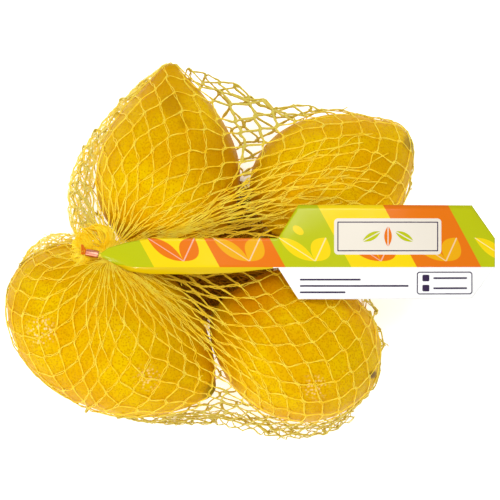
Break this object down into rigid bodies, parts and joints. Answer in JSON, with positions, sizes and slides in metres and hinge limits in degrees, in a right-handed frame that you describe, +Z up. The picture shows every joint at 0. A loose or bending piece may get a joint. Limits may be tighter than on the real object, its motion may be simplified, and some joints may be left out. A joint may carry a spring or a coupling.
{
  "type": "net of lemons",
  "caption": "Net of fresh lemons: a yellow knitted tube net gathered in a small metal clip, with a printed film label across the top.",
  "frame": {"origin": "middle of the pack's box, on the surface it lies on", "axes": "+X along the label from the clip to its free end, +Z up through the shown side"},
  "size_m": [0.198, 0.1572, 0.0655],
  "materials": {
    "net_strands": "semi-gloss knitted plastic",
    "lemon_rind": "waxy pored rind",
    "clip_metal": "copper-coloured, satin",
    "label_film": "glossy printed film"
  },
  "bodies": {
    "root": {"net": "net_strands", "clip": "clip_metal", "clip_under": "clip_metal", "label": "label_film"}
  },
  "joints": []
}
